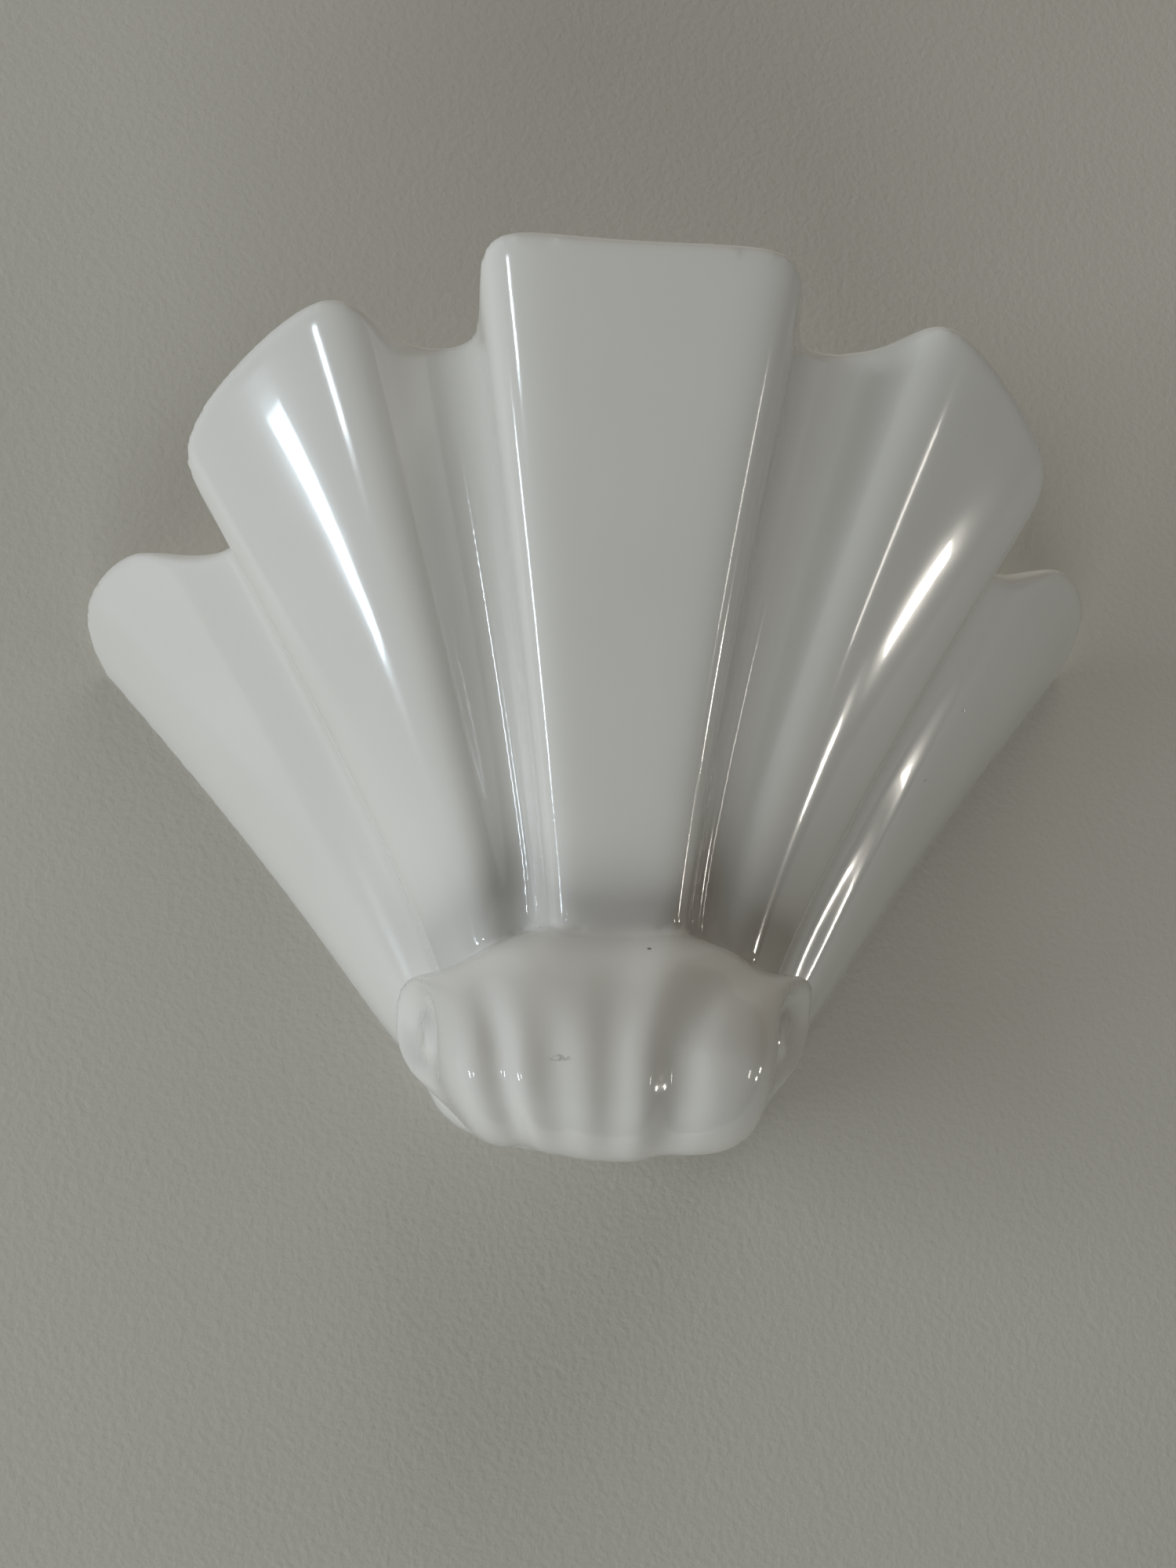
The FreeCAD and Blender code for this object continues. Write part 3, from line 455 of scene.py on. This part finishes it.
def noise(tree, scale, detail=3.0, roughness=0.5):
    """Noise fixed to the piece; the tree's one coordinate node is made with the first."""
    node = tree.nodes.new("ShaderNodeTexNoise")
    node.inputs["Scale"].default_value = scale
    node.inputs["Detail"].default_value = detail
    node.inputs["Roughness"].default_value = roughness
    place = tree.nodes.get("place") or tree.nodes.new("ShaderNodeTexCoord")
    place.name = "place"
    tree.links.new(place.outputs["Object"], node.inputs["Vector"])
    return node


def ramp(tree, source, stops):
    """Colour ramp over a value, from stops of (place, colour)."""
    node = tree.nodes.new("ShaderNodeValToRGB")
    elements = node.color_ramp.elements
    while len(elements) < len(stops):
        elements.new(0.5)
    for element, (at, colour) in zip(elements, stops):
        element.position = at
        element.color = (*colour, 1)
    tree.links.new(source, node.inputs["Fac"])
    return node


def bump(tree, shader, source, strength, distance, after=None):
    """Bump on the shader's normal, laid over an earlier bump if one is given."""
    node = tree.nodes.new("ShaderNodeBump")
    node.inputs["Strength"].default_value = strength
    node.inputs["Distance"].default_value = distance
    tree.links.new(source, node.inputs["Height"])
    if after is not None:
        tree.links.new(after.outputs["Normal"], node.inputs["Normal"])
    tree.links.new(node.outputs["Normal"], shader.inputs["Normal"])
    return node


def textured(name, low, high, rough_low, rough_high, scale, bump_strength, metallic=0.0, **sockets):
    """Material with mottled colour, uneven gloss and a fine bump."""
    made, shader = material(name, low, rough_low, metallic, **sockets)
    tree = made.node_tree
    mottle = noise(tree, scale, 4.0, 0.6)
    tint = ramp(tree, mottle.outputs["Fac"], ((0.35, low), (0.7, high)))
    tree.links.new(tint.outputs["Color"], shader.inputs["Base Color"])
    uneven_gloss(tree, shader, mottle.outputs["Fac"], rough_low, rough_high)
    fine = noise(tree, scale * 6, 2.0)
    bump(tree, shader, fine.outputs["Fac"], bump_strength, 0.0002)
    return made


# Marks on the glaze as (place, half size in metres, colour, strength): the worn brown edge
# at the left tip, and faint grey scuffs on the centre flute and the scroll.
GLAZE_MARKS = (
    ((-0.1585, -0.022, 0.026), (0.0022, 0.0040, 0.0035), (0.24, 0.13, 0.07), 0.9),
    ((-0.0165, -0.104, -0.0735), (0.0032, 0.0050, 0.0010), (0.22, 0.21, 0.20), 0.55),
    ((0.0135, -0.104, -0.0735), (0.0026, 0.0050, 0.0009), (0.24, 0.23, 0.21), 0.5),
    ((0.0030, -0.118, 0.018), (0.0050, 0.0120, 0.0060), (0.40, 0.39, 0.37), 0.35),
)


def product(tree, first, second):
    """Product of two values."""
    node = tree.nodes.new("ShaderNodeMath")
    node.operation = "MULTIPLY"
    tree.links.new(first, node.inputs[0])
    tree.links.new(second, node.inputs[1])
    return node.outputs["Value"]


def painted(tree, under, amount, colour):
    """One colour laid over another by an amount."""
    paint = tree.nodes.new("ShaderNodeMix")
    paint.data_type = "RGBA"
    tree.links.new(amount, paint.inputs["Factor"])
    tree.links.new(under, paint.inputs[6])
    paint.inputs[7].default_value = (*colour, 1)
    return paint.outputs[2]


def uneven_gloss(tree, shader, source, low, high):
    """Roughness between two levels, by a value."""
    gloss = tree.nodes.new("ShaderNodeMapRange")
    gloss.inputs["To Min"].default_value = low
    gloss.inputs["To Max"].default_value = high
    tree.links.new(source, gloss.inputs["Value"])
    tree.links.new(gloss.outputs["Result"], shader.inputs["Roughness"])


def mark(tree, under, place, size, colour, amount):
    """Paint a small ragged spot, fixed to the piece, over the colour under it."""
    where = tree.nodes.new("ShaderNodeMapping")
    where.vector_type = "TEXTURE"
    where.inputs["Location"].default_value = place
    where.inputs["Scale"].default_value = size
    tree.links.new(tree.nodes["place"].outputs["Object"], where.inputs["Vector"])
    length = tree.nodes.new("ShaderNodeVectorMath")
    length.operation = "LENGTH"
    tree.links.new(where.outputs["Vector"], length.inputs[0])
    spot = ramp(tree, length.outputs["Value"], ((0.55, (amount,) * 3), (1.0, (0, 0, 0))))
    ragged = noise(tree, 900.0, 3.0, 0.7)
    holes = ramp(tree, ragged.outputs["Fac"], ((0.42, (0, 0, 0)), (0.58, (1, 1, 1))))
    both = product(tree, spot.outputs["Color"], holes.outputs["Color"])
    return painted(tree, under, both, colour)


def glaze():
    """Thick clear glaze over off-white clay: slow waviness, pinholes and a few iron specks."""
    made, shader = material("white_glaze", (0.68, 0.68, 0.66), 0.08)
    shader.inputs["IOR"].default_value = 1.55
    shader.inputs["Coat Weight"].default_value = 0.6
    shader.inputs["Coat Roughness"].default_value = 0.03
    tree = made.node_tree
    body = noise(tree, 9.0, 3.0, 0.5)
    tint = ramp(tree, body.outputs["Fac"], ((0.3, (0.66, 0.655, 0.635)), (0.7, (0.71, 0.707, 0.69))))
    specks = tree.nodes.new("ShaderNodeTexVoronoi")
    specks.inputs["Scale"].default_value = 90.0
    specks.inputs["Randomness"].default_value = 1.0
    tree.links.new(tree.nodes["place"].outputs["Object"], specks.inputs["Vector"])
    dots = ramp(tree, specks.outputs["Distance"], ((0.035, (1, 1, 1)), (0.06, (0, 0, 0))))
    chosen = noise(tree, 28.0, 2.0, 0.6)
    some = ramp(tree, chosen.outputs["Fac"], ((0.60, (0, 0, 0)), (0.66, (1, 1, 1))))
    pinholes = product(tree, dots.outputs["Color"], some.outputs["Color"])
    marked = painted(tree, tint.outputs["Color"], pinholes, (0.10, 0.085, 0.07))
    for place, size, colour, amount in GLAZE_MARKS:
        marked = mark(tree, marked, place, size, colour, amount)
    tree.links.new(marked, shader.inputs["Base Color"])
    wave = noise(tree, 22.0, 2.0, 0.45)
    waviness = bump(tree, shader, wave.outputs["Fac"], 0.25, 0.0012)
    bump(tree, shader, pinholes, 0.6, -0.0003, waviness)
    uneven_gloss(tree, shader, body.outputs["Fac"], 0.06, 0.16)
    return made


def striped_insulation(name):
    """Green insulation with a yellow stripe along the lead, on two of its four sides."""
    made, shader = material(name, (0.05, 0.27, 0.04), 0.45)
    tree = made.node_tree
    facing = tree.nodes.new("ShaderNodeNewGeometry")
    split = tree.nodes.new("ShaderNodeSeparateXYZ")
    tree.links.new(facing.outputs["True Normal"], split.inputs["Vector"])
    stripe = product(tree, split.outputs["Y"], split.outputs["Z"])
    tint = ramp(tree, stripe, ((0.02, (0.05, 0.27, 0.04)), (0.05, (0.72, 0.62, 0.04))))
    tree.links.new(tint.outputs["Color"], shader.inputs["Base Color"])
    fine = noise(tree, 700.0, 2.0)
    bump(tree, shader, fine.outputs["Fac"], 0.08, 0.0002)
    return made


def dress():
    """Give every node of the hardware its material."""
    steel = textured("zinc_steel", (0.42, 0.43, 0.44), (0.56, 0.57, 0.57), 0.28, 0.48, 40, 0.12, 1.0)
    aluminium = textured("rivet_aluminium", (0.6, 0.6, 0.6), (0.72, 0.72, 0.73), 0.3, 0.5, 90, 0.1, 1.0)
    rubber = textured("black_rubber", (0.02, 0.02, 0.02), (0.045, 0.045, 0.045), 0.6, 0.8, 120, 0.3)
    tinned = textured("tinned_copper", (0.55, 0.54, 0.52), (0.7, 0.69, 0.67), 0.3, 0.5, 160, 0.1, 1.0)
    brass = textured("brass", (0.62, 0.43, 0.16), (0.78, 0.58, 0.26), 0.22, 0.42, 110, 0.08, 1.0)
    nylon = textured("white_nylon", (0.66, 0.66, 0.62), (0.76, 0.76, 0.73), 0.45, 0.6, 60, 0.12)
    phenolic = textured("white_phenolic", (0.66, 0.65, 0.6), (0.72, 0.71, 0.67), 0.2, 0.34, 45, 0.05)
    porcelain = textured("porcelain", (0.72, 0.71, 0.66), (0.8, 0.79, 0.76), 0.5, 0.7, 80, 0.15)
    black = textured("black_glass", (0.015, 0.013, 0.02), (0.04, 0.035, 0.05), 0.1, 0.2, 90, 0.05)
    nickel = textured("nickel_brass", (0.6, 0.58, 0.53), (0.7, 0.69, 0.65), 0.15, 0.3, 120, 0.05, 1.0)
    opal = textured("opal_glass", (0.83, 0.83, 0.8), (0.88, 0.88, 0.86), 0.16, 0.26, 30, 0.03)
    brown = textured("brown_insulation", (0.12, 0.05, 0.025), (0.17, 0.075, 0.04), 0.4, 0.55, 150, 0.08)
    blue = textured("blue_insulation", (0.03, 0.1, 0.4), (0.05, 0.14, 0.5), 0.4, 0.55, 150, 0.08)
    green = striped_insulation("earth_insulation")
    looks = {
        "wall_bracket": steel, "lamp_arm": steel, "arm_rivets": aluminium, "cable_grommet": rubber,
        "earth_ring_terminal": tinned, "earth_washer": steel, "earth_screw": brass,
        "terminal_block_body": nylon, "terminal_block_tubes": brass, "terminal_block_screws": steel,
        "terminal_block_fixing_screw": steel, "entry_nipple": steel, "lower_locknut": steel,
        "upper_locknut": steel, "toothed_lock_washer": steel, "holder_cap": phenolic,
        "holder_skirt": phenolic, "holder_insert": porcelain, "holder_terminal_screws": steel,
        "holder_screw_shell": brass, "holder_centre_contact": brass, "bulb_contact_tip": tinned,
        "bulb_cap_insulator": black, "bulb_screw_cap": nickel, "bulb_collar": phenolic,
        "bulb_globe": opal, "live_lead": brown, "neutral_lead": blue, "earth_lead": green,
    }
    for name, look in looks.items():
        node = frame["nodes"][name]
        node.data.materials.clear()
        node.data.materials.append(look)


# ------------------------------------------------------------------ stage, lights and camera, in metres
WALL_BACK = 0.0006      # the room's wall lies this far behind the part's back
WALL_HALF = 5.0
# Soft lights that the glaze doesn't mirror: name, place, target, size, power, colour.
SOFT_LIGHTS = (
    ("soft_left", (-2.25, -0.95, 0.05), (0, 0, 0), (1.7, 1.5), 27, (0.93, 0.97, 1.0)),
    ("soft_low", (-0.3, -1.1, -2.0), (0, 0, -0.4), (1.8, 0.9), 19, (0.97, 1.0, 0.98)),
    ("soft_above", (0.5, -1.0, 1.7), (0, 0, -0.05), (1.2, 0.9), 10, (1.0, 0.95, 0.86)),
    ("soft_behind", (0.5, 1.7, 0.7), (0, 0, 0), (1.6, 1.2), 26, (1.0, 0.98, 0.94)),
)
# Window patches that only gloss shows: name, place, size, power, colour. All face the flutes.
PATCH_TARGET = (0, -0.08, 0)
PATCHES = (
    ("window", (-1.56, -0.78, -0.95), (0.11, 0.26), 1.9, (0.74, 0.88, 1.0)),
    ("window_second", (-1.13, -1.27, -0.87), (0.09, 0.14), 1.1, (0.78, 0.90, 1.0)),
    ("window_third", (-1.78, 0.22, -0.62), (0.10, 0.5), 1.6, (0.85, 0.93, 1.0)),
    ("far_window", (1.5, -0.2, -0.60), (0.06, 0.10), 0.75, (1.0, 0.95, 0.86)),
    ("far_window_second", (1.46, -0.3, -0.80), (0.06, 0.07), 0.5, (1.0, 0.95, 0.86)),
    ("far_window_third", (1.28, -0.76, -0.70), (0.05, 0.2), 0.4, (1.0, 0.95, 0.86)),
)
# Colours of the room from the left (0) to the right (1), as the glaze mirrors them.
ROOM_TONES = (
    (0.0, (0.30, 0.32, 0.32)), (0.30, (0.20, 0.205, 0.195)), (0.44, (0.09, 0.08, 0.066)),
    (0.56, (0.12, 0.107, 0.086)), (0.72, (0.045, 0.037, 0.026)), (1.0, (0.06, 0.05, 0.035)),
)
ROOM_SEEN = (0.45, 0.45, 0.43)
CAMERA_PLACE = (-0.032, -0.388, (15.0 + CREASE) * MM)
CAMERA_YAW = math.radians(4.5)
CAMERA_PITCH = math.radians(5.0)
CAMERA_LENS = 27.04     # on a sensor 36 mm wide


def wall():
    """Roller-painted wall behind the part."""
    bm = bmesh.new()
    size = WALL_HALF
    corners = ((-size, -size), (size, -size), (size, size), (-size, size))
    bm.faces.new([bm.verts.new((x, WALL_BACK, z)) for x, z in corners])
    item = linked("wall", bm)
    made, shader = material("wall_paint", (0.50, 0.487, 0.445), 0.7)
    tree = made.node_tree
    roller = noise(tree, 480.0, 2.0, 0.5)
    broad = noise(tree, 5.0, 2.0, 0.5)
    tint = ramp(tree, broad.outputs["Fac"], ((0.3, (0.49, 0.477, 0.435)), (0.7, (0.52, 0.507, 0.465))))
    tree.links.new(tint.outputs["Color"], shader.inputs["Base Color"])
    bump(tree, shader, roller.outputs["Fac"], 0.28, 0.001)
    # one-sided: seen and lit from the room, clear from behind
    facing = tree.nodes.new("ShaderNodeNewGeometry")
    clear = tree.nodes.new("ShaderNodeBsdfTransparent")
    either = tree.nodes.new("ShaderNodeMixShader")
    tree.links.new(facing.outputs["Backfacing"], either.inputs["Fac"])
    tree.links.new(shader.outputs["BSDF"], either.inputs[1])
    tree.links.new(clear.outputs["BSDF"], either.inputs[2])
    tree.links.new(either.outputs["Shader"], tree.nodes["Material Output"].inputs["Surface"])
    item.data.materials.append(made)
    item.visible_shadow = False


def area_light(name, place, target, size, power, colour):
    """Rectangular light at a place, facing a target and never seen by the camera itself."""
    data = bpy.data.lights.new(name, "AREA")
    data.shape = "RECTANGLE"
    data.size, data.size_y = size
    data.energy = power
    data.color = colour
    item = bpy.data.objects.new(name, data)
    item.visible_camera = False
    item.location = place
    item.rotation_mode = "QUATERNION"
    item.rotation_quaternion = (Vector(target) - Vector(place)).to_track_quat("-Z", "Y")
    bpy.context.scene.collection.objects.link(item)
    return item


def lights():
    """Soft daylight from the left and below, and the windows in the glaze."""
    for name, place, target, size, power, colour in SOFT_LIGHTS:
        soft = area_light(name, place, target, size, power, colour)
        soft.visible_glossy = False
    for name, place, size, power, colour in PATCHES:
        patch = area_light(name, place, PATCH_TARGET, size, power, colour)
        patch.visible_diffuse = False


def room():
    """Room around the part: pale and cool on the window side, dim and warm on the other."""
    data = bpy.data.worlds.new("room")
    bpy.context.scene.world = data
    data.use_nodes = True
    tree = data.node_tree
    place = tree.nodes.new("ShaderNodeTexCoord")
    split = tree.nodes.new("ShaderNodeSeparateXYZ")
    tree.links.new(place.outputs["Generated"], split.inputs["Vector"])
    side = tree.nodes.new("ShaderNodeMapRange")
    side.inputs["From Min"].default_value = -1.0
    tree.links.new(split.outputs["X"], side.inputs["Value"])
    tint = ramp(tree, side.outputs["Result"], ROOM_TONES)
    seen = tree.nodes.new("ShaderNodeLightPath")
    backdrop = painted(tree, tint.outputs["Color"], seen.outputs["Is Camera Ray"], ROOM_SEEN)
    tree.links.new(backdrop, tree.nodes["Background"].inputs["Color"])


def camera():
    """Camera a little to the left and below, turned slightly right and up."""
    data = bpy.data.cameras.new("photo_camera")
    data.sensor_width = 36.0
    data.lens = CAMERA_LENS
    data.clip_start = 0.02
    item = bpy.data.objects.new("photo_camera", data)
    bpy.context.scene.collection.objects.link(item)
    item.location = CAMERA_PLACE
    yaw, pitch = CAMERA_YAW, CAMERA_PITCH
    ahead = Vector((math.sin(yaw) * math.cos(pitch), math.cos(yaw) * math.cos(pitch), math.sin(pitch)))
    item.rotation_mode = "QUATERNION"
    item.rotation_quaternion = ahead.to_track_quat("-Z", "Y")
    bpy.context.scene.camera = item


casting = ceramic()
casting.data.materials.clear()
casting.data.materials.append(glaze())
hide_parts("ceramic_shell")
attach(casting, "shell")
dress()
wall()
lights()
room()
camera()
bpy.context.scene.view_settings.view_transform = "Standard"
